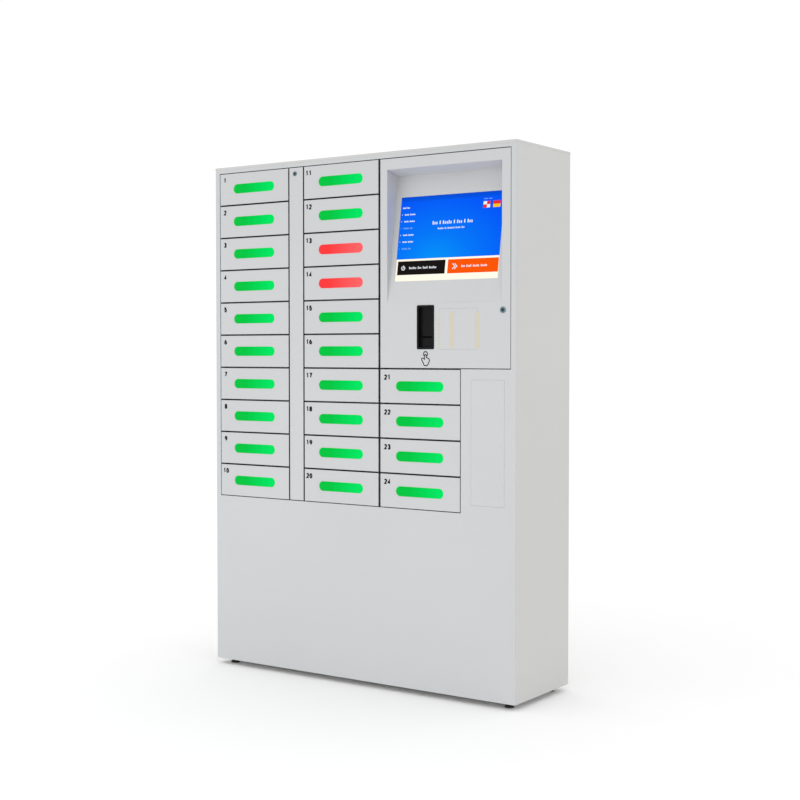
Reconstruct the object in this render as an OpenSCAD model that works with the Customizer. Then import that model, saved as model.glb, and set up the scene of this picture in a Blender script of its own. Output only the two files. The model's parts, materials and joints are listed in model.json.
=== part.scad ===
// Free-standing charging kiosk: a steel cabinet with 24 lockable charging
// compartments, a touch-screen door and a service door.
// The origin is at floor level under the middle of the cabinet, and the front faces -Y.

/* [Cabinet] */
// Width of the cabinet without its cap
body_w = 1253; // [1250:1:1320]
// Depth of the cabinet without its cap
body_d = 356; // [356:1:420]
// Overall height from the floor
cabinet_h = 1800; // [1800:1:1900]
// Height of the cabinet floor above the ground
foot_h = 20; // [16:1:30]
// Thickness of the outer sheets
sheet_t = 2; // [1.5:0.1:2.5]
// Height of the cap's turned-down rim
cap_rim = 8; // [6:1:14]
// How far the cap stands out beyond the cabinet
cap_over = 0.6; // [0.5:0.1:2]

/* [Front] */
// Left edge of the front opening
open_left = -607; // [-607:1:-605]
// Right edge of the upper part of the front opening
open_right = 608; // [607:1:608]
// Right edge of the lower part of the front opening
open_step = 422.5; // [422:0.5:424]
// Plain margin above the front opening
top_margin = 21.3; // [20:0.1:24]
// Depth of the turned-in edges around openings and doors
return_d = 18; // [16:1:20]

/* [Compartment doors] */
// Rows of doors in the two tall columns
rows = 10; // [10:1:10]
// Rows taken up by the screen door
screen_rows = 6; // [6:1:6]
// Width of a door
door_w = 314; // [312:0.5:314]
// Height of a door
door_h = 110.6; // [108:0.1:111]
// Gap between two doors
row_gap = 5.6; // [5:0.1:7]
// Gap between a door and the top or bottom edge
end_gap = 3; // [2.5:0.1:3.5]
// Length of the lit slot in a door
slot_w = 188; // [160:1:200]
// Height of the lit slot in a door
slot_h = 33.5; // [20:0.5:36]

/* [Hinges and locks] */
// Radius of the hinge rods
rod_r = 3; // [2.5:0.5:3]
// Radial clearance of the hinge rods in the doors
rod_clear = 0.08; // [0.04:0.01:0.1]
// Distance from a door's hinge edge to its axis
pivot_in = 10; // [9:0.5:12]
// Distance from the front face to the hinge axis
pivot_back = 6.5; // [6:0.5:8]
// Radius of the key lock head on the screen door
screen_lock_r = 10; // [9:0.5:11]
// Radius of the key lock head on the service door
service_lock_r = 8; // [8:0.5:9]

/* [Screen door] */
// Slope of the screen panel from vertical
slope = 8.8; // [6:0.1:11]
// Length of the sloped screen panel
slope_len = 429; // [420:1:430]
// Width of the display window
window_w = 398; // [380:1:400]
// Height of the display window
window_h = 285; // [270:1:290]

/* [Compartments] */
// Depth of a compartment behind its door
bay_d = 230; // [200:5:240]
// Thickness of the inner sheets
inner_t = 1.6; // [1.2:0.1:2]

/* [Hidden] */
$fn = 48;
eps = 0.01;
front_y = -body_d / 2;
back_y = body_d / 2;
wall_x = body_w / 2 - sheet_t;                 // inner face of the side panels
sheet_back = front_y + sheet_t;                // rear face of the front sheet
bay_front = front_y + return_d + 4;            // front edges of shelves and walls
bay_back = bay_front + bay_d;
under_cap = cabinet_h - sheet_t;

open_top = cabinet_h - top_margin;
pitch = door_h + row_gap;
open_bottom = open_top - rows * pitch + row_gap - 2 * end_gap;
open_mid = open_top - screen_rows * pitch + row_gap / 2 - end_gap;
pivot_y = front_y + pivot_back;

left_x = open_left + 3.5;                      // left edges of the doors
middle_x = -218;
right_x = 105.5;
strip_x = -283.5;
strip_w = 59.3;
screen_w = 500.5;
screen_h = screen_rows * pitch - row_gap;
strip_h = rows * pitch - row_gap;
door_top = open_top - end_gap;
screen_z = door_top - screen_h;

left_pivot = left_x + pivot_in;
middle_pivot = middle_x + door_w - pivot_in;
right_pivot = right_x + pivot_in;
strip_pivot = strip_x + pivot_in;

wall_left = open_left + inner_t / 2;           // middle planes of the inner walls
wall_lock_left = -286.6;
wall_lock_middle = -221.1;
wall_middle = 100.7;
wall_right = open_step + inner_t / 2;

tab_t = 1.6;
tab_long = 13;                                 // reach of a hinge tab towards the frame
tab_short = 6;                                 // and towards the door
washer_r = 5;
lock_d = 62;                                   // electric lock: depth, width, height
lock_w = 17;
lock_h = 44;
striker_back = 22;                             // how far a striker reaches behind its door
striker_t = 3;
striker_h = 14;
lamp_margin = 8;                               // lamp housing: rim around the lit slot, and depth
lamp_d = 8;

recess_x = 133.3;
recess_w = 441.2;
recess_z = 1299;
recess_h = 441;
sill_h = 30;                                   // height within which the slope meets the front sheet
slope_top_y = front_y + slope_len * sin(slope);
slope_top_z = recess_z + slope_len * cos(slope);
window_x = 353.5;
window_up = 72;                                // lower edge of the window up the slope
glass_t = 3;
glass_lap = 8;                                 // how far the glass reaches past the window's edges
panel_t = 14;

reader_x = 286.1;
reader_z = 1217.4;
reader_w = 67;
reader_h = 144;
reader_corner = 5;
reader_rim = 7;
reader_d = 60;
pay_x = 413;
pay_z = 1211;
pay_w = 144;
pay_h = 132;
cover_x = 523;
cover_z = 846;
cover_w = 124;
cover_h = 403;
seam = 0.3;
backing_t = 1.5;                               // backing sheet of a flush plate
joint_gap = 0.1;                               // between parts that are riveted or clipped together

screen_lock_x = 578.6;
screen_lock_z = 1269;
service_lock_x = -258.7;
service_lock_z = 1755;

foot_x = 580;
foot_y = 133;
stem_r = 5;                                    // threaded stem of a foot, and its nuts
nut_r = 9;
pan_rim = 22;                                  // height of the base pan's upturned edges
fan_x = -420;
fan_z = 330;
fan_size = 120;
fan_t = 25;
hub_r = 19;
fan_axle_r = 3;
axle_fit = 0.06;
screw_hole_r = 2.6;
inlet_x = 520;
inlet_z = 110;
back_flange = 20;
back_screw_x = wall_x - back_flange / 2;
back_screws_z = [for (i = [0:5]) 110 + i * 320];

function shelf_z(k) = door_top + row_gap / 2 - k * pitch;
function door_z(r) = door_top - door_h - r * pitch;
function tab_z(k) = shelf_z(k) + (k == 0 ? -1.3 : k == rows ? 1.3 : 0);
deck_top = shelf_z(rows) + inner_t / 2;
function row_of(i) = i > 2 * rows ? i - 2 * rows - 1 + screen_rows : (i - 1) % rows;
function door_x(i) = i > 2 * rows ? right_x : i > rows ? middle_x : left_x;
function hinged_right(i) = i > rows && i <= 2 * rows;
function door_name(i) = str("door_", i < 10 ? "0" : "", i);

door_count = 2 * rows + (rows - screen_rows);
door_names = [for (i = [1:door_count]) door_name(i)];

// ---- helpers ----------------------------------------------------------------

// A box between two corners
module span(low, high) { translate(low) cube(high - low); }

// A round bar or hole along Y
module along_y(r, y0, y1) { translate([0, y1, 0]) rotate([90, 0, 0]) cylinder(r = r, h = y1 - y0); }

// A flat plate in the XZ plane with its front at y0
module plate_y(y0, t) { translate([0, y0 + t, 0]) rotate([90, 0, 0]) linear_extrude(t) children(); }

// A rectangle with round corners, centred
module rounded(w, h, r) {
    square([w - 2 * r, h], center = true);
    square([w, h - 2 * r], center = true);
    for (x = [-1, 1], z = [-1, 1]) translate([x * (w / 2 - r), z * (h / 2 - r)]) circle(r);
}

// A shallow sheet-metal tray: front sheet with turned-back edges, lower left corner at x0, z0
module pan(x0, z0, w, h) {
    difference() {
        span([x0, front_y, z0], [x0 + w, front_y + return_d, z0 + h]);
        span([x0 + sheet_t, sheet_back, z0 + sheet_t],
             [x0 + w - sheet_t, front_y + return_d + eps, z0 + h - sheet_t]);
    }
}

// The hole that a hinge rod passes through, all the way up the cabinet
module rod_hole(x) {
    translate([x, pivot_y, foot_h]) cylinder(r = rod_r + rod_clear, h = cabinet_h);
}

// Places its children on the sloped screen panel: Z runs up the slope, Y points behind it
module on_slope(up = 0, back = 0) {
    translate([0, front_y, recess_z]) rotate([-slope, 0, 0]) translate([0, back, up]) children();
}

// ---- outer cabinet ----------------------------------------------------------

module base_pan() {
    color("gainsboro") difference() {
        span([-wall_x, sheet_back, foot_h], [wall_x, back_y - 2 * sheet_t, foot_h + pan_rim]);
        span([-wall_x + sheet_t, sheet_back + sheet_t, foot_h + sheet_t],
             [wall_x - sheet_t, back_y - 3 * sheet_t, foot_h + pan_rim + 1]);
        for (x = [-foot_x, foot_x], y = [-foot_y, foot_y])
            translate([x, y, 0]) cylinder(r = stem_r + 0.3, h = 2 * foot_h);
    }
}

module side_panel(s) {
    flange_in = 12;
    inner = wall_x + sheet_t;
    color("gainsboro") difference() {
        mirror([s < 0 ? 1 : 0, 0, 0]) {
            span([wall_x, sheet_back, foot_h], [inner, back_y, under_cap]);
            span([wall_x - flange_in, sheet_back, foot_h + pan_rim],
                 [wall_x + eps, sheet_back + sheet_t, under_cap]);
            span([wall_x - back_flange, back_y - 2 * sheet_t, foot_h],
                 [wall_x + eps, back_y - sheet_t, under_cap]);
        }
        for (z = back_screws_z) translate([s * back_screw_x, 0, z]) along_y(screw_hole_r, 0, back_y);
    }
}

module side_panel_left() { side_panel(-1); }

module side_panel_right() { side_panel(1); }

module top_cap() {
    color("gainsboro") difference() {
        span([-body_w / 2 - cap_over, front_y - cap_over, cabinet_h - cap_rim],
             [body_w / 2 + cap_over, back_y + cap_over, cabinet_h]);
        span([-body_w / 2, front_y, 0], [body_w / 2, back_y, under_cap]);
    }
}

module rear_panel() {
    vent_w = 6;
    color("gainsboro") difference() {
        span([-wall_x, back_y - sheet_t, foot_h + 2], [wall_x, back_y, under_cap]);
        for (x = [-back_screw_x, back_screw_x], z = back_screws_z)
            translate([x, 0, z]) along_y(screw_hole_r, 0, back_y + 1);
        for (i = [-4:4]) {
            rise = sqrt(55 * 55 - pow(i * 12, 2));
            span([fan_x + i * 12 - vent_w / 2, 0, fan_z - rise],
                 [fan_x + i * 12 + vent_w / 2, body_d, fan_z + rise]);
        }
        for (x = [-350, 60, 470], i = [-6:6])
            span([x + i * 16 - vent_w / 2, 0, 1600], [x + i * 16 + vent_w / 2, body_d, 1680]);
        span([inlet_x - 15, 0, inlet_z - 25], [inlet_x + 15, body_d, inlet_z + 35]);
    }
}

module rear_panel_screws() {
    color("silver") for (x = [-back_screw_x, back_screw_x], z = back_screws_z) translate([x, 0, z])
        difference() {
            union() {
                along_y(4.5, back_y, back_y + 1.9);
                along_y(2.5, back_y - 8, back_y);
            }
            plate_y(back_y + 0.7, 2) square([1.2, 7], center = true);
            plate_y(back_y + 0.7, 2) square([7, 1.2], center = true);
        }
}

module front_frame() {
    edge = open_bottom - sheet_t;
    color("whitesmoke") difference() {
        union() {
            span([-body_w / 2, front_y, foot_h], [body_w / 2, sheet_back, under_cap]);
            span([open_left - sheet_t, front_y, edge],
                 [open_step + sheet_t, front_y + return_d, open_top + sheet_t]);
            span([open_left - sheet_t, front_y, open_mid - sheet_t],
                 [open_right + sheet_t, front_y + return_d, open_top + sheet_t]);
        }
        span([open_left, front_y - 1, open_bottom], [open_step, 0, open_top]);
        span([open_left, front_y - 1, open_mid], [open_right, 0, open_top]);
        plate_cut(cover_x, cover_z, cover_w, cover_h);
    }
}

// The cut-out that a flush cover plate sits in
module plate_cut(x, z, w, h) {
    span([x - w / 2, front_y - 1, z - h / 2], [x + w / 2, sheet_back + 1, z + h / 2]);
}

// A flush plate with a wider backing sheet, set in its cut-out with a fine seam all round
module flush_plate(x, z, w, h, lip) {
    span([x - w / 2 + seam, front_y, z - h / 2 + seam], [x + w / 2 - seam, sheet_back, z + h / 2 - seam]);
    span([x - w / 2 - lip, sheet_back, z - h / 2 - lip],
         [x + w / 2 + lip, sheet_back + backing_t, z + h / 2 + lip]);
}

module cover_plate() {
    color("whitesmoke") flush_plate(cover_x, cover_z, cover_w, cover_h, 10);
}

module levelling_feet() {
    color("dimgray") for (x = [-foot_x, foot_x], y = [-foot_y, foot_y]) translate([x, y, 0]) {
        cylinder(r1 = 16, r2 = 15, h = 5);
        translate([0, 0, 5]) cylinder(r1 = 15, r2 = 9, h = 4);
        translate([0, 0, 9]) cylinder(r = stem_r, h = 37);
        translate([0, 0, foot_h - 6]) cylinder(r = nut_r, h = 6, $fn = 6);
        translate([0, 0, foot_h + sheet_t]) cylinder(r = nut_r, h = 7, $fn = 6);
    }
}

// ---- compartments -----------------------------------------------------------

// An upright wall that stands on the deck, from the shelves' front edges to the compartments' backs
module inner_wall(x, top) {
    span([x - inner_t / 2, bay_front, deck_top + joint_gap], [x + inner_t / 2, bay_back - joint_gap, top]);
}

// The back of the compartments between two walls
module inner_back(x0, x1, top) {
    span([x0, bay_back, deck_top + joint_gap], [x1, bay_back + inner_t, top]);
}

module compartment_walls() {
    full = shelf_z(0) + inner_t / 2;
    short = shelf_z(screen_rows) - inner_t / 2;
    color("lightgray") {
        for (x = [wall_left, wall_lock_left, wall_lock_middle, wall_middle]) inner_wall(x, full);
        inner_wall(wall_right, short);
        inner_back(wall_left - inner_t / 2, wall_middle + inner_t / 2, full);
        inner_back(wall_middle + inner_t / 2 + joint_gap, wall_right + inner_t / 2, short);
        span([-wall_x, bay_front, deck_top - inner_t], [wall_x, back_y - 2 * sheet_t, deck_top]);
    }
}

module shelves(x0, x1, first, last) {
    color("lightgray") for (k = [first:last])
        span([x0, bay_front, shelf_z(k) - inner_t / 2], [x1, bay_back, shelf_z(k) + inner_t / 2]);
}

module shelves_left() {
    shelves(wall_left + inner_t / 2, wall_lock_left - inner_t / 2, 0, rows - 1);
}

module shelves_middle() {
    shelves(wall_lock_middle + inner_t / 2, wall_middle - inner_t / 2, 0, rows - 1);
}

module shelves_right() {
    color("lightgray") {
        span([wall_middle + inner_t / 2, bay_front, shelf_z(screen_rows) - inner_t / 2],
             [wall_x, bay_back, shelf_z(screen_rows) + inner_t / 2]);
        shelves(wall_middle + inner_t / 2, wall_right - inner_t / 2, screen_rows + 1, rows - 1);
    }
}

// Each lock stands against the wall at its door's free edge
function lock_x(i) = hinged_right(i) ? wall_lock_middle + inner_t / 2 + lock_w / 2
    : (i > rows ? wall_right : wall_lock_left) - inner_t / 2 - lock_w / 2;
function lock_z(i) = door_z(row_of(i)) + door_h / 2;

module lock_units() {
    color("slategray") for (i = [1:door_count]) translate([lock_x(i), bay_front + 6, lock_z(i)])
        difference() {
            span([-lock_w / 2, 0, -lock_h / 2], [lock_w / 2, lock_d, lock_h / 2]);
            span([-5, -1, -9], [5, 18, 9]);
        }
}

module charging_sockets() {
    color("dimgray") for (i = [1:door_count])
        translate([door_x(i) + door_w / 2, bay_back, lock_z(i)]) difference() {
            span([-30, -7, -14], [30, 0, 14]);
            for (x = [-17, 0, 17]) span([x - 5, -8, -3], [x + 5, -2, 3]);
        }
}

// ---- hinges -----------------------------------------------------------------

rod_low = tab_z(rows) - tab_t / 2;
rod_high = tab_z(0) + tab_t / 2;

module hinge_rods() {
    color("dimgray") for (x = [left_pivot, middle_pivot, right_pivot, strip_pivot])
        translate([x, pivot_y, rod_low]) cylinder(r = rod_r, h = rod_high - rod_low);
}

module hinge_tab(x, side, k) {
    low = side < 0 ? tab_long : tab_short;
    high = side < 0 ? tab_short : tab_long;
    difference() {
        span([x - low, sheet_back, tab_z(k) - tab_t / 2], [x + high, bay_front, tab_z(k) + tab_t / 2]);
        translate([x, pivot_y, 0]) cylinder(r = rod_r, h = cabinet_h);
    }
}

module hinge_brackets() {
    color("dimgray") {
        for (k = [0:rows]) {
            hinge_tab(left_pivot, -1, k);
            hinge_tab(middle_pivot, 1, k);
        }
        for (k = [0, screen_rows, 7, 8, 9, rows]) hinge_tab(right_pivot, -1, k);
        for (k = [0, rows]) hinge_tab(strip_pivot, -1, k);
    }
}

module washer(x, k) {
    top = k == rows ? open_bottom + end_gap - 0.1 : shelf_z(k) + row_gap / 2 - 0.1;
    base = tab_z(k) + tab_t / 2;
    translate([x, pivot_y, base]) difference() {
        cylinder(r = washer_r, h = top - base);
        translate([0, 0, -1]) cylinder(r = rod_r, h = row_gap + 2);
    }
}

module hinge_washers() {
    color("black") {
        for (k = [1:rows]) {
            washer(left_pivot, k);
            washer(middle_pivot, k);
        }
        for (k = [screen_rows, 7, 8, 9, rows]) washer(right_pivot, k);
        washer(strip_pivot, rows);
    }
}

// ---- compartment doors ------------------------------------------------------

// Each door is a tray with a striker for its electric lock and a lamp housing behind its slot
module door(i) {
    x0 = door_x(i);
    z0 = door_z(row_of(i));
    mid_z = z0 + door_h / 2;
    hinge_x = hinged_right(i) ? x0 + door_w - pivot_in : x0 + pivot_in;
    striker_x = lock_x(i);
    color("whitesmoke") {
        difference() {
            pan(x0, z0, door_w, door_h);
            rod_hole(hinge_x);
            translate([x0 + door_w / 2, 0, mid_z]) plate_y(front_y - 1, 6)
                union() {
                    square([slot_w - slot_h, slot_h], center = true);
                    for (s = [-1, 1]) translate([s * (slot_w - slot_h) / 2, 0]) circle(slot_h / 2);
                }
        }
        span([x0 + door_w / 2 - slot_w / 2 - lamp_margin, sheet_back, mid_z - slot_h / 2 - lamp_margin],
             [x0 + door_w / 2 + slot_w / 2 + lamp_margin, sheet_back + lamp_d,
              mid_z + slot_h / 2 + lamp_margin]);
        span([striker_x - striker_t / 2, sheet_back, mid_z - striker_h / 2],
             [striker_x + striker_t / 2, front_y + return_d + striker_back, mid_z + striker_h / 2]);
    }
}

// ---- key locks --------------------------------------------------------------

lock_proud = 1.6;                              // how far lock heads and the reader stand out
lock_wall = 4;                                 // wall of a lock barrel
lock_step = 1.5;                               // how much a lock head overlaps its hole
plug_fit = 0.06;

module lock_barrel(x, z, r) {
    color("slategray") translate([x, 0, z]) difference() {
        union() {
            along_y(r, front_y - lock_proud, front_y);
            along_y(r - lock_step, front_y, front_y + return_d + 1.5);
            plate_y(sheet_back, 4) circle(r + 3, $fn = 6);
        }
        along_y(r - lock_wall, front_y - 2, front_y + return_d + 2);
    }
}

// The plug turns in the barrel and carries the cam; at rest the cam is drawn in
module lock_plug(x, z, r, cam, side) {
    color("lightslategray") translate([x, 0, z]) difference() {
        union() {
            along_y(r - lock_wall - plug_fit, front_y - lock_proud, front_y + return_d + 6);
            plate_y(front_y + return_d + 2, 2.5) union() {
                circle(6.5);
                translate([side * cam / 2, 0]) square([cam, 11], center = true);
            }
        }
        span([-0.9, front_y - 2, -3], [0.9, front_y + 3, 3]);
    }
}

// ---- service door -----------------------------------------------------------

module service_door() {
    color("whitesmoke") difference() {
        pan(strip_x, door_top - strip_h, strip_w, strip_h);
        rod_hole(strip_pivot);
        translate([service_lock_x, 0, service_lock_z])
            along_y(service_lock_r - lock_step + joint_gap, front_y - 1, sheet_back + 1);
    }
}

module service_lock_barrel() { lock_barrel(service_lock_x, service_lock_z, service_lock_r); }

module service_lock_plug() { lock_plug(service_lock_x, service_lock_z, service_lock_r, 29, 1); }

// ---- screen door ------------------------------------------------------------

module screen_door() {
    color("whitesmoke") difference() {
        pan(right_x, screen_z, screen_w, screen_h);
        rod_hole(right_pivot);
        span([recess_x, front_y - 1, recess_z], [recess_x + recess_w, 0, recess_z + recess_h]);
        translate([reader_x, 0, reader_z]) plate_y(front_y - 1, 4)
            rounded(reader_w + 2 * joint_gap, reader_h + 2 * joint_gap, reader_corner);
        plate_cut(pay_x, pay_z, pay_w, pay_h);
        translate([screen_lock_x, 0, screen_lock_z])
            along_y(screen_lock_r - lock_step + joint_gap, front_y - 1, sheet_back + 1);
    }
}

// The recess is one folded hood: two cheeks, a falling ceiling and the sloped screen panel
module screen_recess() {
    normal = [cos(slope), -sin(slope)];
    low = [front_y, recess_z];
    high = [slope_top_y, slope_top_z];
    lip = [front_y, recess_z + recess_h];
    start_up = sheet_t * (1 - cos(slope)) / tan(slope) - sheet_t * sin(slope);
    outer = [[sheet_back, recess_z + start_up], high + sheet_t * normal,
             high + [sheet_t, 2 * sheet_t], lip + [sheet_t, 2 * sheet_t]];
    color("whitesmoke") difference() {
        union() {
            translate([recess_x - sheet_t, 0, 0]) extrude_x(recess_w + 2 * sheet_t) polygon(outer);
            span([recess_x, front_y, recess_z], [recess_x + recess_w, sheet_back, recess_z + sill_h]);
        }
        translate([recess_x, 0, 0]) extrude_x(recess_w)
            polygon([low, high, lip, lip - [1, 0], low - [1, 0]]);
        on_slope(window_up)
            span([window_x - window_w / 2, -5, 0], [window_x + window_w / 2, 9, window_h]);
    }
}

// Extrudes a YZ outline along X
module extrude_x(w) { rotate([90, 0, 90]) linear_extrude(w) children(); }

module touch_glass() {
    color("black") on_slope(window_up, sheet_t)
        span([window_x - window_w / 2 - glass_lap, 0, -glass_lap],
             [window_x + window_w / 2 + glass_lap, glass_t, window_h + glass_lap]);
}

module display_panel() {
    color("silver") on_slope(window_up, sheet_t + glass_t) {
        span([window_x - window_w / 2 - 12, 0, -14],
             [window_x + window_w / 2 + 12, panel_t, window_h + 14]);
        span([window_x - 60, panel_t, 60], [window_x + 60, panel_t + 12, 190]);
    }
}

module card_reader() {
    color("black") translate([reader_x, 0, reader_z]) difference() {
        union() {
            plate_y(front_y - lock_proud, lock_proud + sheet_t) rounded(reader_w, reader_h, reader_corner);
            plate_y(sheet_back, reader_d) rounded(reader_w + 8, reader_h + 8, 4);
        }
        plate_y(front_y - 2.6, 13) rounded(reader_w - 2 * reader_rim, reader_h - 2 * reader_rim, 3);
        span([-20, front_y + 5, -34], [20, front_y + 40, -30]);
    }
}

module blanking_plate() {
    color("whitesmoke") flush_plate(pay_x, pay_z, pay_w, pay_h, 6);
}

module screen_lock_barrel() { lock_barrel(screen_lock_x, screen_lock_z, screen_lock_r); }

module screen_lock_plug() { lock_plug(screen_lock_x, screen_lock_z, screen_lock_r, 38, -1); }

// ---- inside -----------------------------------------------------------------

module lock_control_board() {
    board_y = bay_back - 12;
    mid_x = (wall_lock_left + wall_lock_middle) / 2;
    color("darkgreen") {
        span([mid_x - 26, board_y, 900], [mid_x + 26, board_y + inner_t, 1300]);
        for (z = [930:60:1230]) span([mid_x - 20, board_y - 9, z], [mid_x + 4, board_y, z + 36]);
        for (z = [920:40:1260]) span([mid_x + 12, board_y - 11, z], [mid_x + 22, board_y, z + 30]);
        for (x = [-20, 20], z = [915, 1285])
            translate([mid_x + x, 0, z]) along_y(3, board_y + inner_t, bay_back);
    }
}

module power_supply() {
    x0 = -330;
    z0 = foot_h + sheet_t;
    color("silver") for (i = [0:1]) translate([x0 + i * 150, 0, z0]) {
        span([-55, -60, 0], [55, 155, 50]);
        span([-45, -76, 6], [45, -60, 26]);
    }
}

module control_computer() {
    x1 = wall_x;
    color("dimgray") {
        span([x1 - 36, 0, 1340], [x1, 150, 1530]);
        for (y = [10:14:136]) span([x1 - 46, y, 1345], [x1 - 36, y + 4, 1525]);
    }
}

fan_back = back_y - sheet_t;
fan_front = fan_back - fan_t;

module fan_frame() {
    color("black") translate([fan_x, 0, fan_z]) difference() {
        union() {
            difference() {
                span([-fan_size / 2, fan_front, -fan_size / 2], [fan_size / 2, fan_back, fan_size / 2]);
                along_y(fan_size / 2 - 3, fan_front - 1, fan_back + 1);
            }
            for (a = [0, 90]) rotate([0, a, 0])
                span([-fan_size / 2 + 1, fan_front, -3], [fan_size / 2 - 1, fan_front + 4, 3]);
            along_y(hub_r, fan_front, fan_front + 4);
        }
        along_y(fan_axle_r + axle_fit, fan_front - 1, fan_front + 5);
    }
}

module fan_rotor() {
    color("dimgray") translate([fan_x, 0, fan_z]) {
        along_y(hub_r, fan_front + 5, fan_back - 3);
        along_y(fan_axle_r, fan_front + 0.2, fan_front + 5);
        for (i = [0:6]) rotate([0, i * 360 / 7, 0])
            translate([0, fan_front + 13.5, 0]) rotate([0, 0, 35])
                span([-11, -0.8, 17], [11, 0.8, 54]);
    }
}

module power_inlet() {
    color("black") translate([inlet_x, 0, inlet_z]) difference() {
        union() {
            span([-17, back_y, -30], [17, back_y + 1.2, 40]);
            span([-14.5, back_y - 32, -24.5], [14.5, back_y, 34.5]);
        }
        difference() {
            span([-12, back_y - 18, -21], [12, back_y + 2, 5]);
            for (x = [-7, 7]) span([x - 1, back_y - 20, -13], [x + 1, back_y - 4, -7]);
            span([-1, back_y - 20, -6], [1, back_y - 4, 0]);
        }
        span([-11.2, back_y - 16, 11], [11.2, back_y + 2, 31]);
    }
    color("silver") translate([inlet_x, 0, inlet_z]) for (s = [-1, 1])
        translate([s < 0 ? -11.2 : 9.2, switch_y, switch_z - inlet_z])
            rotate([0, 90, 0]) cylinder(r = switch_pin_r, h = 2);
}

switch_y = back_y - 6;
switch_z = inlet_z + 21;
switch_tilt = 9;
switch_pin_r = 1.5;

// A rocker that tips about a level axis between its on and off stops
module inlet_switch() {
    color("firebrick") translate([inlet_x, switch_y, switch_z]) rotate([-switch_tilt, 0, 0])
        difference() {
            rotate([90, 0, 90]) translate([0, 0, -9]) linear_extrude(18)
                polygon([[-4, -4], [-4, 4], [4.6, 8.6], [6, 8.6], [5, 0], [6, -8.6], [4.6, -8.6]]);
            translate([-10, 0, 0]) rotate([0, 90, 0]) cylinder(r = switch_pin_r + axle_fit, h = 20);
        }
}

// ---- drawing ----------------------------------------------------------------

base_pan();
side_panel_left();
side_panel_right();
top_cap();
rear_panel();
rear_panel_screws();
front_frame();
cover_plate();
levelling_feet();
compartment_walls();
shelves_left();
shelves_middle();
shelves_right();
hinge_rods();
hinge_brackets();
hinge_washers();
lock_units();
charging_sockets();
lock_control_board();
power_supply();
control_computer();
fan_frame();
fan_rotor();
power_inlet();
inlet_switch();
service_door();
service_lock_barrel();
service_lock_plug();
screen_door();
screen_recess();
display_panel();
touch_glass();
card_reader();
blanking_plate();
screen_lock_barrel();
screen_lock_plug();
for (i = [1:door_count]) door(i);
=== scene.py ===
"""Looks of the charging kiosk: paint, lit slots, numerals, screen picture, light and camera."""

import json
import math

import bmesh
import bpy
from mathutils import Matrix, Vector


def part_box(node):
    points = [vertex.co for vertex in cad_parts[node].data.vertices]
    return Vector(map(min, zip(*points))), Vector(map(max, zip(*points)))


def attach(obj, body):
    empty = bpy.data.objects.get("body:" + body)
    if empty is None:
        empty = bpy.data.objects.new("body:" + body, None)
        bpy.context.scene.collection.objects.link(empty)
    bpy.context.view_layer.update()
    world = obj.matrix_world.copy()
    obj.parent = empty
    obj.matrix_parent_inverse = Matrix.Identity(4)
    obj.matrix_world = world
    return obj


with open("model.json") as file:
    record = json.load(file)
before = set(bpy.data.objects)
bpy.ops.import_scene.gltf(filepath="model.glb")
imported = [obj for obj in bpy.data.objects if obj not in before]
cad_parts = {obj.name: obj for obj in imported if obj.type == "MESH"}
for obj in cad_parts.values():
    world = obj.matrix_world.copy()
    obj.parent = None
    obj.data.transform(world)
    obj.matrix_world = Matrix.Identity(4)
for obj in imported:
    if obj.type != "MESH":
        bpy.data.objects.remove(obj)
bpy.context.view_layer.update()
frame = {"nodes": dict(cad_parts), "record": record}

MM = 0.001
NODES = frame["nodes"]
DOOR_COUNT = 24
OCCUPIED_DOORS = (13, 14)  # their lamps are red, the rest are green
DOORS = [f"door_{i:02d}" for i in range(1, DOOR_COUNT + 1)]


# ---- node-tree helpers ---------------------------------------------------------


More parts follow.
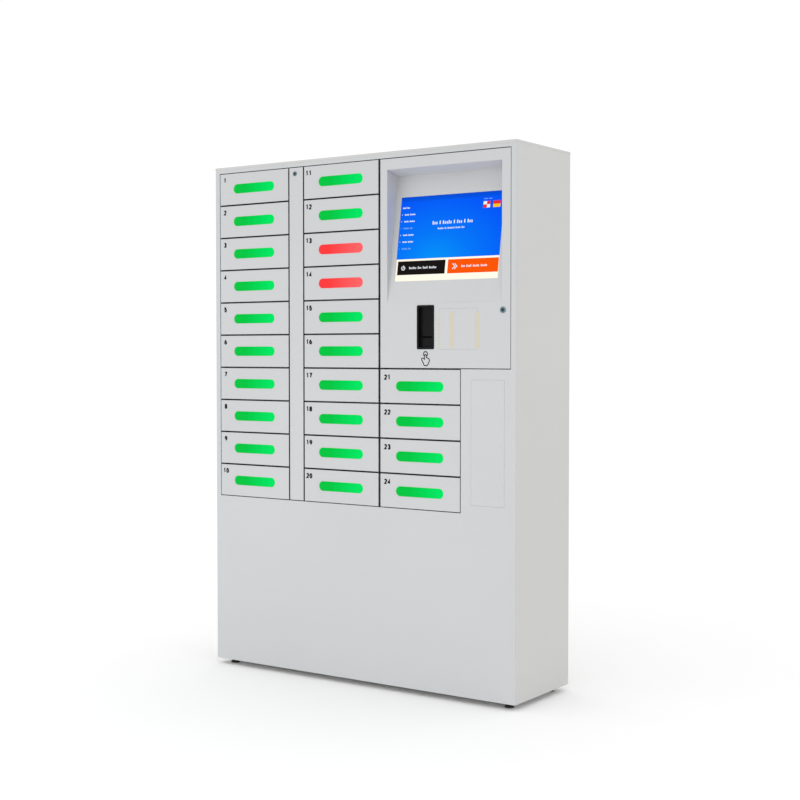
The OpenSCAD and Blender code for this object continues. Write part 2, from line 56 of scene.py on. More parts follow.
class Recipe:
    """A procedural material: its shader, its object coordinates and short ways to add nodes."""

    def __init__(self, name, colour, roughness, metallic=0.0):
        self.material = bpy.data.materials.new(name)
        self.material.use_nodes = True
        self.tree = self.material.node_tree
        self.shader = self.tree.nodes["Principled BSDF"]
        self.place = self.add("ShaderNodeTexCoord").outputs["Object"]
        self.set("Base Color", (*colour, 1.0))
        self.set("Roughness", roughness)
        self.set("Metallic", metallic)

    def add(self, kind, **settings):
        node = self.tree.nodes.new(kind)
        for name, value in settings.items():
            setattr(node, name, value)
        return node

    def set(self, socket, value):
        self.shader.inputs[socket].default_value = value

    def link(self, source, target):
        self.tree.links.new(source, target)

    def noise(self, scale, detail=2.0, stretch=(1, 1, 1), roughness=0.5):
        mapping = self.add("ShaderNodeMapping")
        mapping.inputs["Scale"].default_value = stretch
        self.link(self.place, mapping.inputs["Vector"])
        node = self.add("ShaderNodeTexNoise")
        node.inputs["Scale"].default_value = scale
        node.inputs["Detail"].default_value = detail
        node.inputs["Roughness"].default_value = roughness
        self.link(mapping.outputs["Vector"], node.inputs["Vector"])
        return node.outputs["Fac"]

    def spread(self, source, low, high, bottom=0.3, top=0.7):
        """Maps a value that runs from bottom to top onto low to high."""
        node = self.add("ShaderNodeMapRange")
        node.inputs["From Min"].default_value = bottom
        node.inputs["From Max"].default_value = top
        node.inputs["To Min"].default_value = low
        node.inputs["To Max"].default_value = high
        self.link(source, node.inputs["Value"])
        return node.outputs["Result"]

    def ramp(self, source, stops):
        """A colour ramp through (position, rgb) stops."""
        node = self.add("ShaderNodeValToRGB")
        elements = node.color_ramp.elements
        while len(elements) < len(stops):
            elements.new(0.5)
        for element, (position, colour) in zip(elements, stops):
            element.position = position
            element.color = (*colour, 1.0)
        self.link(source, node.inputs["Fac"])
        return node.outputs["Color"]

    def rough(self, source, low, high):
        self.link(self.spread(source, low, high), self.shader.inputs["Roughness"])

    def bump(self, source, height, strength=1.0):
        """Relief of the given height in metres."""
        node = self.add("ShaderNodeBump")
        node.inputs["Strength"].default_value = strength
        node.inputs["Distance"].default_value = height
        self.link(source, node.inputs["Height"])
        if self.shader.inputs["Normal"].is_linked:
            self.link(self.shader.inputs["Normal"].links[0].from_socket, node.inputs["Normal"])
        self.link(node.outputs["Normal"], self.shader.inputs["Normal"])

    def glow(self, colour_socket, strength):
        self.link(colour_socket, self.shader.inputs["Emission Color"])
        self.set("Emission Strength", strength)


def shade(colour, factor):
    return tuple(min(1.0, c * factor) for c in colour)


# ---- materials -----------------------------------------------------------------

LIT_STRENGTH = 0.95


def powder_coat(name, colour):
    """Satin powder coat: fine orange peel, soft clouds of tone and fine flecks."""
    r = Recipe(name, colour, 0.45)
    clouds = r.noise(2.2, 3.0)
    tone = r.ramp(clouds, [(0.3, shade(colour, 0.985)), (0.7, shade(colour, 1.012))])
    fleck = r.noise(1700.0, 1.0)
    mix = r.add("ShaderNodeMix", data_type="RGBA", blend_type="MULTIPLY")
    mix.inputs["Factor"].default_value = 1.0
    r.link(tone, mix.inputs["A"])
    r.link(r.ramp(fleck, [(0.35, (0.975,) * 3), (0.6, (1.0,) * 3)]), mix.inputs["B"])
    r.link(mix.outputs["Result"], r.shader.inputs["Base Color"])
    r.rough(r.noise(9.0, 4.0), 0.40, 0.50)
    r.bump(r.noise(420.0, 2.0), 0.00004, 0.5)
    r.bump(r.noise(1500.0, 1.0), 0.00001, 0.5)
    r.set("Specular IOR Level", 0.45)
    return r.material


def zinc_sheet(name):
    """Galvanised sheet with soft spangle."""
    r = Recipe(name, (0.50, 0.51, 0.52), 0.4, metallic=0.85)
    cells = r.add("ShaderNodeTexVoronoi")
    cells.inputs["Scale"].default_value = 90.0
    r.link(r.place, cells.inputs["Vector"])
    r.link(r.ramp(cells.outputs["Color"], [(0.0, (0.42, 0.43, 0.44)), (1.0, (0.60, 0.61, 0.62))]),
           r.shader.inputs["Base Color"])
    r.rough(r.noise(60.0, 3.0), 0.30, 0.50)
    return r.material


def bright_metal(name, colour, low=0.2, high=0.34):
    """Plated metal with fine turning lines."""
    r = Recipe(name, colour, low, metallic=1.0)
    r.rough(r.noise(500.0, 2.0), low, high)
    lines = r.noise(160.0, 2.0, stretch=(1, 12, 1))
    r.bump(lines, 0.00002, 0.4)
    return r.material


def plastic(name, colour, low, high, grain=1400.0, relief=0.00003, shine=0.4):
    """Moulded plastic with a spark-eroded grain."""
    r = Recipe(name, colour, low)
    r.set("Specular IOR Level", shine)
    r.link(r.ramp(r.noise(30.0, 3.0), [(0.3, shade(colour, 0.85)), (0.7, shade(colour, 1.15))]),
           r.shader.inputs["Base Color"])
    r.rough(r.noise(200.0, 2.0), low, high)
    r.bump(r.noise(grain, 2.0), relief, 0.6)
    return r.material


def circuit_board(name):
    """Green solder mask over a faint grid of tracks."""
    r = Recipe(name, (0.01, 0.14, 0.05), 0.3)
    tracks = r.add("ShaderNodeTexBrick")
    tracks.inputs["Scale"].default_value = 60.0
    tracks.inputs["Color1"].default_value = (0.01, 0.15, 0.05, 1)
    tracks.inputs["Color2"].default_value = (0.015, 0.20, 0.07, 1)
    tracks.inputs["Mortar"].default_value = (0.05, 0.30, 0.12, 1)
    r.link(r.place, tracks.inputs["Vector"])
    r.link(tracks.outputs["Color"], r.shader.inputs["Base Color"])
    r.rough(r.noise(80.0, 2.0), 0.22, 0.4)
    return r.material


def lit_acrylic(name, dark, bright, low_x, high_x):
    """A lens lit from behind by a row of small lamps: darker at its left end, brighter at its right."""
    r = Recipe(name, bright, 0.35)
    split = r.add("ShaderNodeSeparateXYZ")
    r.link(r.place, split.inputs["Vector"])
    along = r.spread(split.outputs["X"], 0.0, 1.0, low_x, high_x)
    r.set("Base Color", (*shade(bright, 0.08), 1.0))
    lamps = r.add("ShaderNodeMath", operation="SINE")
    turns = r.add("ShaderNodeMath", operation="MULTIPLY")
    turns.inputs[1].default_value = 2 * math.pi * 6
    r.link(along, turns.inputs[0])
    r.link(turns.outputs["Value"], lamps.inputs[0])
    soft = r.spread(lamps.outputs["Value"], 0.985, 1.015, -1.0, 1.0)
    glow = r.add("ShaderNodeVectorMath", operation="SCALE")
    r.link(r.ramp(along, [(0.0, dark), (0.25, dark), (1.0, bright)]), glow.inputs["Vector"])
    r.link(soft, glow.inputs["Scale"])
    r.glow(glow.outputs["Vector"], LIT_STRENGTH)
    r.set("Specular IOR Level", 0.02)
    r.rough(r.noise(300.0, 2.0), 0.30, 0.42)
    return r.material


def lit_colour(name, colour, strength=0.8):
    """A flat lit patch of the display, with a faint pixel grain."""
    r = Recipe(name, shade(colour, 0.04), 0.22)
    grain = r.noise(2600.0, 0.0)
    r.glow(r.ramp(grain, [(0.3, shade(colour, 0.97)), (0.7, shade(colour, 1.0))]), strength)
    r.set("Specular IOR Level", 0.02)
    return r.material


def screen_blue(name, window):
    """The display's background: deep blue, with a lighter glow low on the left and a dark top bar."""
    left, right, bottom, top = window
    r = Recipe(name, (0.0, 0.004, 0.03), 0.22)
    split = r.add("ShaderNodeSeparateXYZ")
    r.link(r.place, split.inputs["Vector"])
    across = r.spread(split.outputs["X"], 0.0, 1.0, left, right)
    upward = r.spread(split.outputs["Z"], 0.0, 1.0, bottom, top)
    offset_x = r.add("ShaderNodeMath", operation="SUBTRACT")
    offset_x.inputs[1].default_value = 0.38
    r.link(across, offset_x.inputs[0])
    offset_z = r.add("ShaderNodeMath", operation="SUBTRACT")
    offset_z.inputs[1].default_value = 0.22
    r.link(upward, offset_z.inputs[0])
    spot = r.add("ShaderNodeCombineXYZ")
    r.link(offset_x.outputs["Value"], spot.inputs["X"])
    r.link(offset_z.outputs["Value"], spot.inputs["Y"])
    length = r.add("ShaderNodeVectorMath", operation="LENGTH")
    r.link(spot.outputs["Vector"], length.inputs[0])
    glow = r.ramp(length.outputs["Value"],
                  [(0.0, (0.0, 0.31, 0.97)), (0.35, (0.0, 0.19, 0.97)), (0.8, (0.0, 0.095, 0.97))])
    bar = r.ramp(upward, [(0.93, (1.0, 1.0, 1.0)), (0.97, (0.8, 0.8, 0.72))])
    mix = r.add("ShaderNodeMix", data_type="RGBA", blend_type="MULTIPLY")
    mix.inputs["Factor"].default_value = 1.0
    r.link(glow, mix.inputs["A"])
    r.link(bar, mix.inputs["B"])
    r.glow(mix.outputs["Result"], 0.94)
    r.set("Specular IOR Level", 0.02)
    return r.material


def dark_glass(name):
    r = Recipe(name, (0.01, 0.01, 0.012), 0.08)
    r.rough(r.noise(6.0, 3.0), 0.05, 0.12)
    r.set("Coat Weight", 0.5)
    return r.material


def printed(name, colour):
    """Screen-printed ink: a thin, slightly uneven film."""
    r = Recipe(name, colour, 0.5)
    r.link(r.ramp(r.noise(900.0, 2.0), [(0.3, shade(colour, 0.92)), (0.7, shade(colour, 1.06))]),
           r.shader.inputs["Base Color"])
    r.rough(r.noise(250.0, 2.0), 0.42, 0.58)
    r.set("Specular IOR Level", 0.15)
    return r.material


def foam_tape(name):
    """Dull black with fine pores, for the strips that paint shade into the door gaps."""
    r = Recipe(name, (0.008, 0.008, 0.008), 0.9)
    pores = r.add("ShaderNodeTexVoronoi")
    pores.inputs["Scale"].default_value = 1100.0
    r.link(r.place, pores.inputs["Vector"])
    r.link(r.ramp(pores.outputs["Distance"], [(0.1, (0.004,) * 3), (0.6, (0.014,) * 3)]),
           r.shader.inputs["Base Color"])
    r.bump(pores.outputs["Distance"], 0.00015, 0.8)
    r.rough(r.noise(400.0, 2.0), 0.82, 0.95)
    r.set("Specular IOR Level", 0.1)
    return r.material


# One paint covers the front and the sides; these are two copies of it whose tones differ to paint in how the
# front and the sides are lit.
FRONT_LIT_GREY = (0.545, 0.555, 0.565)
SIDE_LIT_GREY = (0.562, 0.562, 0.553)

MATERIALS = {
    # cabinet_paint and front_paint are lit and shaded copies of the one paint, for the painted light on the
    # front and the sides.
    "cabinet_paint": powder_coat("cabinet_paint", SIDE_LIT_GREY),
    "front_paint": powder_coat("front_paint", FRONT_LIT_GREY),
    # inner_paint is the same paint made darker: painted shade inside the compartments, seen through the door
    # gaps.
    "inner_paint": powder_coat("inner_paint", shade(SIDE_LIT_GREY, 0.85)),
    "galvanised": zinc_sheet("galvanised"),
    "bright_steel": bright_metal("bright_steel", (0.62, 0.62, 0.63)),
    "lock_metal": bright_metal("lock_metal", (0.14, 0.19, 0.22)),
    "lock_core": bright_metal("lock_core", (0.035, 0.06, 0.07)),
    "lock_housing": plastic("lock_housing", (0.06, 0.065, 0.075), 0.40, 0.55),
    "black_plastic": plastic("black_plastic", (0.005, 0.005, 0.005), 0.32, 0.48, shine=0.1),
    "black_nylon": plastic("black_nylon", (0.012, 0.012, 0.013), 0.40, 0.55, shine=0.2),
    "black_steel": bright_metal("black_steel", (0.05, 0.05, 0.055), 0.35, 0.5),
    "foot_rubber": plastic("foot_rubber", (0.015, 0.015, 0.015), 0.55, 0.75, grain=700.0),
    "board_green": circuit_board("board_green"),
    "dark_aluminium": bright_metal("dark_aluminium", (0.06, 0.06, 0.065), 0.35, 0.5),
    "switch_red": plastic("switch_red", (0.45, 0.02, 0.015), 0.25, 0.35),
    "screen_glass": dark_glass("screen_glass"),
    "printed_black": printed("printed_black", (0.008, 0.008, 0.010)),
    "printed_cream": printed("printed_cream", (0.60, 0.555, 0.425)),
    # dull black for the strips that paint shade into the door gaps
    "seal_foam": foam_tape("seal_foam"),
}


# ---- mesh helpers --------------------------------------------------------------


def make_piece(name, mesh, body, material):
    """A new visible piece that rides on a CAD body."""
    piece = bpy.data.objects.new(name, mesh)
    bpy.context.scene.collection.objects.link(piece)
    materials = material if isinstance(material, list) else [material]
    for m in materials:
        piece.data.materials.append(m)
    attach(piece, body)
    return piece


def body_of(node):
    for body, nodes in frame["record"]["behaviour"]["bodies"].items():
        if node in nodes:
            return body
    raise KeyError(node)


def arc(cx, cz, radius, start, end, steps):
    """Points of an arc in the XZ plane, angles in degrees."""
    points = []
    for i in range(steps + 1):
        a = math.radians(start + (end - start) * i / steps)
        points.append((cx + radius * math.cos(a), cz + radius * math.sin(a)))
    return points


def round_box_outline(x0, x1, z0, z1, radius, steps=6):
    corners = [(x1 - radius, z0 + radius, -90), (x1 - radius, z1 - radius, 0),
               (x0 + radius, z1 - radius, 90), (x0 + radius, z0 + radius, 180)]
    outline = []
    for cx, cz, start in corners:
        outline += arc(cx, cz, radius, start, start + 90, steps)
    return outline


def inset(outline, distance):
    """Moves a convex closed outline inwards."""
    count = len(outline)
    result = []
    for i, (x, z) in enumerate(outline):
        ax, az = outline[i - 1]
        bx, bz = outline[(i + 1) % count]
        along = Vector((bx - ax, bz - az)).normalized()
        result.append((x - along.y * distance, z + along.x * distance))
    return result


def add_prism(bm, outline, back, front, edge=0.0, material=0, at=None):
    """A closed plate in the XZ plane from y = back to y = front, its front rim rounded off by edge."""
    profile = [(0.0, back), (0.0, front + edge)]
    if edge:
        profile += [(edge * 0.3, front + edge * 0.3), (edge, front)]
    rings = []
    for distance, y in profile:
        loop = inset(outline, distance) if distance else outline
        points = [Vector((x, y, z)) for x, z in loop]
        rings.append([bm.verts.new(at @ p if at else p) for p in points])
    faces = []
    for low, high in zip(rings, rings[1:]):
        for i in range(len(low)):
            j = (i + 1) % len(low)
            faces.append(bm.faces.new((low[i], low[j], high[j], high[i])))
    faces.append(bm.faces.new(rings[-1]))
    faces.append(bm.faces.new(list(reversed(rings[0]))))
    for face in faces:
        face.material_index = material
    return faces


def add_band(bm, points, width, back, front, closed=False, material=0, at=None):
    """A flat pen line through points in the XZ plane: one closed solid with mitred corners."""
    sharpest = 0.6
    count = len(points)
    sections = []
    for i, point in enumerate(points):
        before = points[i - 1] if closed or i > 0 else None
        after = points[(i + 1) % count] if closed or i < count - 1 else None
        steps = [Vector(b) - Vector(a) for a, b in ((before, point), (point, after)) if a and b]
        sides = [Vector((-step.y, step.x)).normalized() for step in steps]
        middle = sum(sides, Vector((0.0, 0.0))).normalized()
        reach = middle * (width / 2 / max(middle.dot(sides[0]), sharpest))
        corners = [(-1, back), (-1, front), (1, front), (1, back)]
        place = [Vector((point[0] + side * reach.x, y, point[1] + side * reach.y)) for side, y in corners]
        sections.append([bm.verts.new(at @ p if at else p) for p in place])
    pairs = list(zip(sections, sections[1:]))
    if closed:
        pairs.append((sections[-1], sections[0]))
    faces = [bm.faces.new((a[k], a[(k + 1) % 4], b[(k + 1) % 4], b[k])) for a, b in pairs for k in range(4)]
    if not closed:
        faces += [bm.faces.new(sections[0]), bm.faces.new(sections[-1][::-1])]
    for face in faces:
        face.material_index = material


def finish_mesh(name, bm, smooth_angle=35):
    bmesh.ops.recalc_face_normals(bm, faces=bm.faces[:])
    mesh = bpy.data.meshes.new(name)
    bm.to_mesh(mesh)
    bm.free()
    for polygon in mesh.polygons:
        polygon.use_smooth = True
    mesh.set_sharp_from_angle(angle=math.radians(smooth_angle))
    return mesh


def soften(node, width, segments=2):
    """Rounds the sharp edges of a CAD node with modifiers, leaving its mesh as it is."""
    obj = NODES[node]
    weld = obj.modifiers.new("weld", "WELD")
    weld.merge_threshold = 0.000005
    flat = obj.modifiers.new("flat", "DECIMATE")
    flat.decimate_type = "DISSOLVE"
    flat.angle_limit = math.radians(1.0)
    bevel = obj.modifiers.new("bevel", "BEVEL")
    bevel.width = width
    bevel.segments = segments
    bevel.limit_method = "ANGLE"
    bevel.angle_limit = math.radians(40)
    bevel.harden_normals = True
    bevel.use_clamp_overlap = True


# ---- CAD nodes -----------------------------------------------------------------


def paint_cad_nodes():
    """Gives each CAD node the procedural material of its slot in the record."""
    for entry in frame["record"]["subparts"]:
        obj = NODES[entry["node"]]
        obj.data.materials.clear()
        obj.data.materials.append(MATERIALS[entry["material_slot"]])


FOLDED_EDGE = 0.0004
CABINET_EDGE = 0.0008
PLATE_EDGE = 0.0002
MOULDED_EDGE = 0.0006


def soften_cad_nodes():
    for node in DOORS + ["screen_door", "service_door", "front_frame"]:
        soften(node, FOLDED_EDGE)
    for node in ("top_cap", "side_panel_left", "side_panel_right"):
        soften(node, CABINET_EDGE)
    for node in ("cover_plate", "blanking_plate"):
        soften(node, PLATE_EDGE, 1)
    for node in ("card_reader", "power_inlet", "control_computer", "lock_units"):
        soften(node, MOULDED_EDGE)


# ---- door lenses and numerals --------------------------------------------------

LENS_W = 187.4 * MM
LENS_H = 32.9 * MM
LENS_PROUD = 0.3 * MM
LENS_EDGE = 0.5 * MM
END_FLAT = 1e-5  # keeps a sliver of flat between the two arcs of a lens's round end
SHEET = 2 * MM
NUMERAL_THICK = 0.12 * MM
DIGIT_W = 13 * MM
DIGIT_H = 18.5 * MM
DIGIT_PEN = 5.4 * MM
DIGIT_SPACE = 0.9 * MM
COLUMN_ENDS = (10, 20, 24)  # last door number of each column
NUMERAL_INSETS = (22 * MM, 20 * MM, 28 * MM)  # from a door's left edge to the middle of its number
NUMERAL_DROPS = (13 * MM, 13.5 * MM, 16.5 * MM)  # from its top edge to the top of the number

GREEN = ((0.0, 0.52, 0.045), (0.0, 0.80, 0.13))
RED = ((1.0, 0.035, 0.040), (1.0, 0.135, 0.14))


def make_lens(number, node):
    low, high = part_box(node)
    mid_x = (low.x + high.x) / 2
    mid_z = (low.z + high.z) / 2
    x0, x1 = mid_x - LENS_W / 2, mid_x + LENS_W / 2
    bm = bmesh.new()
    outline = round_box_outline(x0, x1, mid_z - LENS_H / 2, mid_z + LENS_H / 2, LENS_H / 2 - END_FLAT, 12)
    add_prism(bm, outline, low.y + SHEET, low.y - LENS_PROUD, edge=LENS_EDGE)
    occupied = number in OCCUPIED_DOORS
    slot = "lens_red" if occupied else "lens_green"
    dark, bright = RED if occupied else GREEN
    material = lit_acrylic(f"{slot}_{number:02d}", dark, bright, x0, x1)
    name = f"lens_{number:02d}"
    return make_piece(name, finish_mesh(name, bm), body_of(node), material)


def bow(cx, cz, rx, rz, start, end, steps=12):
    """Points of an elliptical arc, angles in degrees."""
    turn = [math.radians(start + (end - start) * i / steps) for i in range(steps + 1)]
    return [(cx + rx * math.cos(a), cz + rz * math.sin(a)) for a in turn]


def ring(cx, cz, rx, rz, steps=20):
    return bow(cx, cz, rx, rz, 0, 360, steps)[:-1]


def digit_lines(digit):
    """Centre lines of a plain digit in a box one unit wide and high, each with whether it is closed."""
    six = [(ring(0.5, 0.31, 0.5, 0.31), True), (bow(0.95, 0.31, 0.95, 0.69, 180, 105), False)]
    return {
        "0": [(ring(0.5, 0.5, 0.5, 0.5), True)],
        "1": [([(0.1, 0.76), (0.55, 1.0), (0.55, 0.0)], False)],
        "2": [(bow(0.5, 0.72, 0.48, 0.28, 165, -30) + [(0.0, 0.0), (1.0, 0.0)], False)],
        "3": [(bow(0.48, 0.76, 0.45, 0.24, 155, -80) + bow(0.48, 0.27, 0.5, 0.27, 80, -155), False)],
        "4": [([(0.72, 0.0), (0.72, 1.0), (0.0, 0.28), (1.05, 0.28)], False)],
        "5": [([(0.92, 1.0), (0.14, 1.0), (0.06, 0.52)] + bow(0.47, 0.32, 0.5, 0.32, 125, -155), False)],
        "6": six,
        "7": [([(0.0, 1.0), (1.0, 1.0), (0.38, 0.0)], False)],
        "8": [(ring(0.5, 0.77, 0.42, 0.23), True), (ring(0.5, 0.27, 0.5, 0.27), True)],
        "9": [([(1 - x, 1 - z) for x, z in line], closed) for line, closed in six],
    }[digit]


def make_numeral(number, node):
    low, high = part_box(node)
    column = next(i for i, end in enumerate(COLUMN_ENDS) if number <= end)
    digits = str(number)
    pace = DIGIT_W + DIGIT_SPACE
    left = low.x + NUMERAL_INSETS[column] - (pace * len(digits) - DIGIT_SPACE) / 2 + DIGIT_PEN / 2
    base = high.z - NUMERAL_DROPS[column] - DIGIT_H + DIGIT_PEN / 2
    bm = bmesh.new()
    for place, digit in enumerate(digits):
        for line, closed in digit_lines(digit):
            start = left + place * pace
            points = [(start + x * (DIGIT_W - DIGIT_PEN), base + z * (DIGIT_H - DIGIT_PEN)) for x, z in line]
            add_band(bm, points, DIGIT_PEN, low.y, low.y - NUMERAL_THICK, closed)
    name = f"numeral_{number:02d}"
    return make_piece(name, finish_mesh(name, bm), body_of(node), MATERIALS["printed_black"])


# ---- painted shade in the door gaps --------------------------------------------

GAP_SHADE_T = 0.9 * MM
GAP_SHADE_FRONT = 2 * MM  # behind the door's face
WIDE_GAP = (90 * MM, 110 * MM)  # the gap between the middle and right columns lies in here
WIDE_GAP_FRONT = 5 * MM  # the dark strip is set further back there, so it paints less shade into that gap
GAP_SHADE_BACK = 13 * MM
HINGE_CLEAR = 18 * MM  # the dark strip stops short of the hinge tabs and washers
GAP_SHADE_END = 1 * MM


def add_tape(bm, start, end, outward, front=GAP_SHADE_FRONT):
    """A run of dark strip along a door's edge, painted shade for the gap beside it, with its outer corners
    rounded over.
    """
    soft = GAP_SHADE_T / 3
    section = [(front, 0), (front, GAP_SHADE_T - soft), (front + soft, GAP_SHADE_T),
               (GAP_SHADE_BACK - soft, GAP_SHADE_T), (GAP_SHADE_BACK, GAP_SHADE_T - soft), (GAP_SHADE_BACK, 0)]
    ends = [[bm.verts.new(at + Vector((0, back, 0)) + outward * out) for back, out in section]
            for at in (start, end)]
    count = len(section)
    for k in range(count):
        j = (k + 1) % count
        bm.faces.new((ends[0][k], ends[0][j], ends[1][j], ends[1][k]))
    bm.faces.new(ends[0])
    bm.faces.new(ends[1][::-1])


def make_seal(node):
    """A dark strip round the turned-back edges of a door: painted shade that darkens the gaps between doors.
    """
    low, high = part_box(node)
    body = body_of(node)
    hinge = next(j for j in frame["record"]["behaviour"]["joints"] if j["child"] == body)
    hinged_left = hinge["pos_m"][0] < (low.x + high.x) / 2
    x0 = low.x + (HINGE_CLEAR if hinged_left else 0)
    x1 = high.x - (0 if hinged_left else HINGE_CLEAR)
    z0, z1 = low.z + GAP_SHADE_END, high.z - GAP_SHADE_END
    bm = bmesh.new()
    for x, way in ((low.x, -1), (high.x, 1)):
        front = WIDE_GAP_FRONT if WIDE_GAP[0] < x < WIDE_GAP[1] else GAP_SHADE_FRONT
        add_tape(bm, Vector((x, low.y, z0)), Vector((x, low.y, z1)), Vector((way, 0, 0)), front)
    for z, way in ((low.z, -1), (high.z, 1)):
        add_tape(bm, Vector((x0, low.y, z)), Vector((x1, low.y, z)), Vector((0, 0, way)))
    name = node.replace("door", "seal")
    return make_piece(name, finish_mesh(name, bm), body, MATERIALS["seal_foam"])


# ---- screen picture ------------------------------------------------------------

SLOPE = math.radians(8.8)
GLASS_T = 3 * MM
GLASS_LIP = 8 * MM
LAYER = 0.06 * MM
BUTTON_END = 0.925  # the buttons' lower edge, in shares of the window's height
LABEL_V = 0.844


def screen_frame():
    """The display window as a matrix: X to the right, Z up the slope, Y behind the glass face."""
    low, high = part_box("touch_glass")
    foot = Vector((low.x, low.y, low.z + GLASS_T * math.sin(SLOPE)))
    length = (high.z - foot.z) / math.cos(SLOPE)
    lip = Matrix.Translation((GLASS_LIP, 0, GLASS_LIP))
    at = Matrix.Translation(foot) @ Matrix.Rotation(-SLOPE, 4, "X") @ lip
    return at, high.x - low.x - 2 * GLASS_LIP, length - 2 * GLASS_LIP


def make_screen():
    at, width, height = screen_frame()
    corner = at @ Vector((0, 0, 0))
    top = at @ Vector((width, 0, height))
    window = (corner.x, top.x, corner.z, top.z)
    materials = [
        lit_colour("screen_white", (1.0, 0.935, 0.79), 1.03),
        screen_blue("screen_blue", window),
        lit_colour("screen_black", (0.010, 0.008, 0.007), 0.8),
        lit_colour("screen_orange", (1.0, 0.095, 0.001), 0.95),
        lit_colour("screen_words", (0.88, 0.94, 1.0), 0.9),
        lit_colour("screen_dim_words", (0.20, 0.45, 0.95), 0.9),
        lit_colour("screen_red", (0.85, 0.03, 0.03), 0.9),
        lit_colour("screen_yellow", (1.0, 0.60, 0.02), 0.9),
    ]
    white, blue, black, orange, words, dim_words, red, yellow = range(len(materials))
    bm = bmesh.new()

    def patch(u0, u1, v0, v1, colour, level, corner_share=0.0):
        """A patch of the picture: u runs right and v runs down, both from 0 to 1."""
        x0, x1, z0, z1 = u0 * width, u1 * width, (1 - v1) * height, (1 - v0) * height
        if corner_share:
            radius = corner_share * min(x1 - x0, z1 - z0)
            outline = round_box_outline(x0, x1, z0, z1, radius, 3)
        else:
            outline = [(x0, z0), (x1, z0), (x1, z1), (x0, z1)]
        add_prism(bm, outline, -(level - 1) * LAYER, -level * LAYER, material=colour, at=at)

    def line_of_words(u0, v, size, lengths, colour, level=3, space=0.009, stroke=0.74):
        """Stand-in words: rows of small upright blocks, tall and short, that spell nothing."""
        pace = size * height / width * 0.62
        u = u0
        for length in lengths:
            letters = max(1, round(length / pace))
            for k in range(letters):
                tall = size if k % 3 == 0 else size * 0.72
                low_v = v + size / 2
                patch(u, u + pace * stroke, low_v - tall, low_v, colour, level, 0.3)
                u += pace
            u += space

    patch(0.001, 0.999, 0.001, 0.999, white, 1)
    patch(0.001, 0.999, 0.001, 0.739, blue, 2)
    patch(0.017, 0.489, 0.763, BUTTON_END, black, 2)
    patch(0.514, 0.994, 0.763, BUTTON_END, orange, 2)
    for row in range(7):
        v = 0.127 + 0.081 * row
        faint = row in (3, 6)
        shade_of_row = dim_words if faint else words
        if row == 0:
            line_of_words(0.020, v, 0.020, (0.032, 0.026), words)
        else:
            line_of_words(0.016, v, 0.012, (0.006,), shade_of_row)
            line_of_words(0.045, v, 0.020, (0.052, 0.030) if faint else (0.040, 0.050), shade_of_row)
    line_of_words(0.330, 0.324, 0.042, (0.050, 0.022, 0.085, 0.010, 0.055, 0.022, 0.055), words,
                  space=0.013, stroke=0.58)
    line_of_words(0.386, 0.393, 0.022, (0.058, 0.020, 0.070, 0.050, 0.030), words, stroke=0.64)
    line_of_words(0.812, 0.081, 0.014, (0.036, 0.030), dim_words)
    patch(0.807, 0.872, 0.111, 0.187, red, 3)
    patch(0.807, 0.841, 0.111, 0.149, words, 4)
    patch(0.841, 0.872, 0.149, 0.187, words, 4)
    patch(0.900, 0.968, 0.111, 0.149, red, 3)
    patch(0.900, 0.968, 0.149, 0.187, yellow, 3)
    line_of_words(0.135, LABEL_V, 0.028, (0.078, 0.042, 0.050, 0.075), words, space=0.012, stroke=0.64)
    line_of_words(0.645, LABEL_V, 0.028, (0.040, 0.045, 0.066, 0.056), words, space=0.012, stroke=0.64)
    add_button_signs(bm, at, width, height, words)
    return make_piece("screen_picture", finish_mesh("screen_picture", bm), body_of("touch_glass"),
                      materials)


def add_button_signs(bm, at, width, height, colour):
    """A plug-in sign on the black button and a forward sign on the orange one."""
    back, front = -2 * LAYER, -3 * LAYER
    pen = 3 * MM
    mid_z = (1 - LABEL_V) * height
    plug_x = 0.075 * width
    ring_r, stem_top = 6.2 * MM, 9 * MM
    add_band(bm, arc(plug_x, mid_z, ring_r, 125, 415, 20), pen, back, front, material=colour, at=at)
    stem = [(plug_x, mid_z - 1 * MM), (plug_x, mid_z + stem_top)]
    add_band(bm, stem, pen, back, front, material=colour, at=at)
    for shift in (0, 8 * MM):
        x = 0.560 * width + shift
        chevron = [(x, mid_z + stem_top), (x + 9 * MM, mid_z), (x, mid_z - stem_top)]
        add_band(bm, chevron, pen, back, front, material=colour, at=at)


# ---- small printed sign and reader face ----------------------------------------


PRINT_T = 0.12 * MM


def make_tap_sign():
    """A generic sign below the reader: a pointing hand in outline with a ring round its fingertip."""
    low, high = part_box("card_reader")
    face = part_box("screen_door")[0].y
    mid_x = (low.x + high.x) / 2
    top = low.z - 2 * MM
    ring_r, pen = 8 * MM, 3.4 * MM
    hand = [(-3.4, -13), (-3.4, -27), (-9, -22.5), (-14.5, -24), (-15, -28.5), (-8.5, -39), (-5, -47),
            (5, -48), (10, -43), (15.5, -32), (14.5, -26), (9, -22.5), (3.4, -21), (3.4, -13), (0, -10.5)]
    bm = bmesh.new()
    add_band(bm, arc(mid_x, top - ring_r - pen / 2, ring_r, -50, 230, 18), pen, face, face - PRINT_T)
    add_band(bm, [(mid_x + x * MM, top + z * MM) for x, z in hand], pen, face, face - PRINT_T, closed=True)
    return make_piece("tap_sign", finish_mesh("tap_sign", bm), "screen_panel",
                      MATERIALS["printed_black"])


BAR_LOW = 3 * MM  # above the plate's foot
BAR_HIGH = 120 * MM
BAR_CORNER = 1 * MM


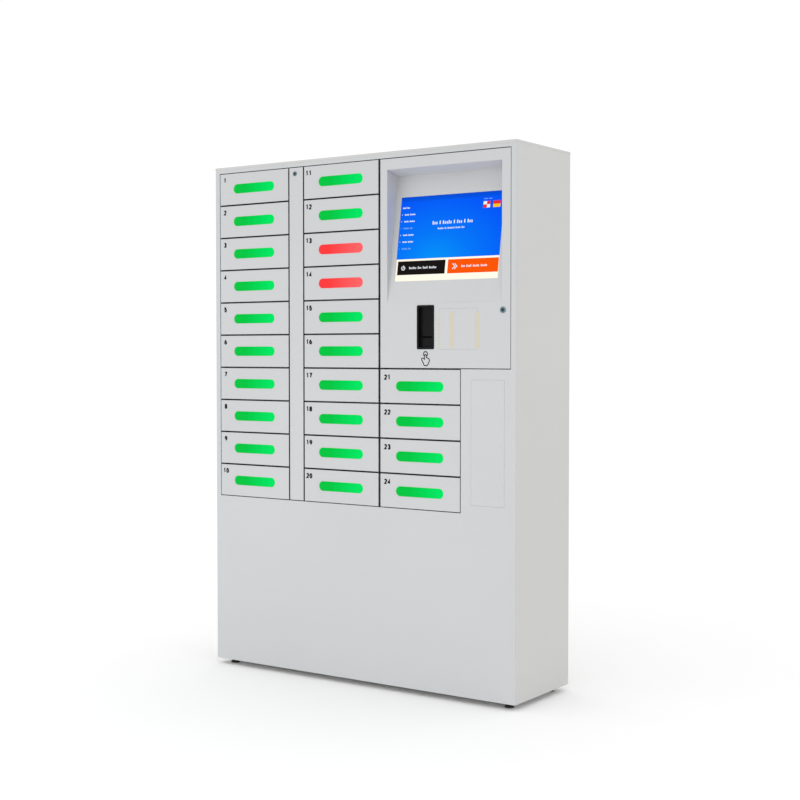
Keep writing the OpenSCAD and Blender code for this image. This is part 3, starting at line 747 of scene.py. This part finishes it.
def make_plate_bars():
    """Three pale upright bars on and beside the blanking plate."""
    low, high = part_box("blanking_plate")
    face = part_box("screen_door")[0].y
    lip = 6 * MM
    left, right, foot = low.x + lip, high.x - lip, low.z + lip
    bars = [(left - 4.5 * MM, 5.5 * MM), (left + 41 * MM, 14 * MM), (right - 7.5 * MM, 13 * MM)]
    bm = bmesh.new()
    for x, width in bars:
        outline = round_box_outline(x, x + width, foot + BAR_LOW, foot + BAR_HIGH, BAR_CORNER, 3)
        add_prism(bm, outline, face, face - PRINT_T)
    return make_piece("plate_bars", finish_mesh("plate_bars", bm), "screen_panel",
                      MATERIALS["printed_cream"])


# ---- stage ---------------------------------------------------------------------


def make_floor():
    mesh = bpy.data.meshes.new("studio_floor")
    size = 30.0
    corners = [(-size, -size, 0), (size, -size, 0), (size, size, 0), (-size, size, 0)]
    mesh.from_pydata(corners, [], [(0, 1, 2, 3)])
    floor = bpy.data.objects.new("studio_floor", mesh)
    bpy.context.scene.collection.objects.link(floor)
    r = Recipe("studio_floor", (0.99, 0.99, 0.99), 0.9)
    r.set("Specular IOR Level", 0.0)
    floor.data.materials.append(r.material)


def make_light(name, place, target, size, power):
    data = bpy.data.lights.new(name, "AREA")
    data.shape = "RECTANGLE"
    data.size, data.size_y = size
    data.energy = power
    lamp = bpy.data.objects.new(name, data)
    bpy.context.scene.collection.objects.link(lamp)
    lamp.location = place
    lamp.rotation_euler = (Vector(target) - Vector(place)).to_track_quat("-Z", "Y").to_euler()


def make_world():
    world = bpy.data.worlds.new("studio")
    world.use_nodes = True
    background = world.node_tree.nodes["Background"]
    background.inputs["Color"].default_value = (1.0, 1.0, 1.0, 1.0)
    background.inputs["Strength"].default_value = 1.03
    bpy.context.scene.world = world


def make_camera():
    data = bpy.data.cameras.new("camera")
    data.sensor_width = 36.0
    data.lens = 63.46
    camera = bpy.data.objects.new("camera", data)
    bpy.context.scene.collection.objects.link(camera)
    camera.location = (2.8405, -4.0175, 1.135)
    camera.rotation_euler = (math.radians(90 - 1.931), 0.0, math.radians(34.67))
    bpy.context.scene.camera = camera


def main():
    make_camera()
    make_world()
    make_floor()
    make_light("key", (-2.5, -4.5, 0.9), (0, 0, 0.3), (4.0, 1.6), 10)
    make_light("low_fill", (-0.4, -2.6, 0.35), (0, -0.18, 0.25), (3.0, 0.5), 7)
    make_light("side", (5.5, -0.5, 1.4), (0.3, 0, 0.5), (3.0, 2.6), 8)
    bpy.context.scene.view_settings.view_transform = "Standard"
    paint_cad_nodes()
    soften_cad_nodes()
    for number, node in enumerate(DOORS, start=1):
        make_lens(number, node)
        make_numeral(number, node)
    # dark strips on the door edges paint shade into the gaps
    for node in DOORS + ["screen_door", "service_door"]:
        make_seal(node)
    make_screen()
    make_tap_sign()
    make_plate_bars()


main()
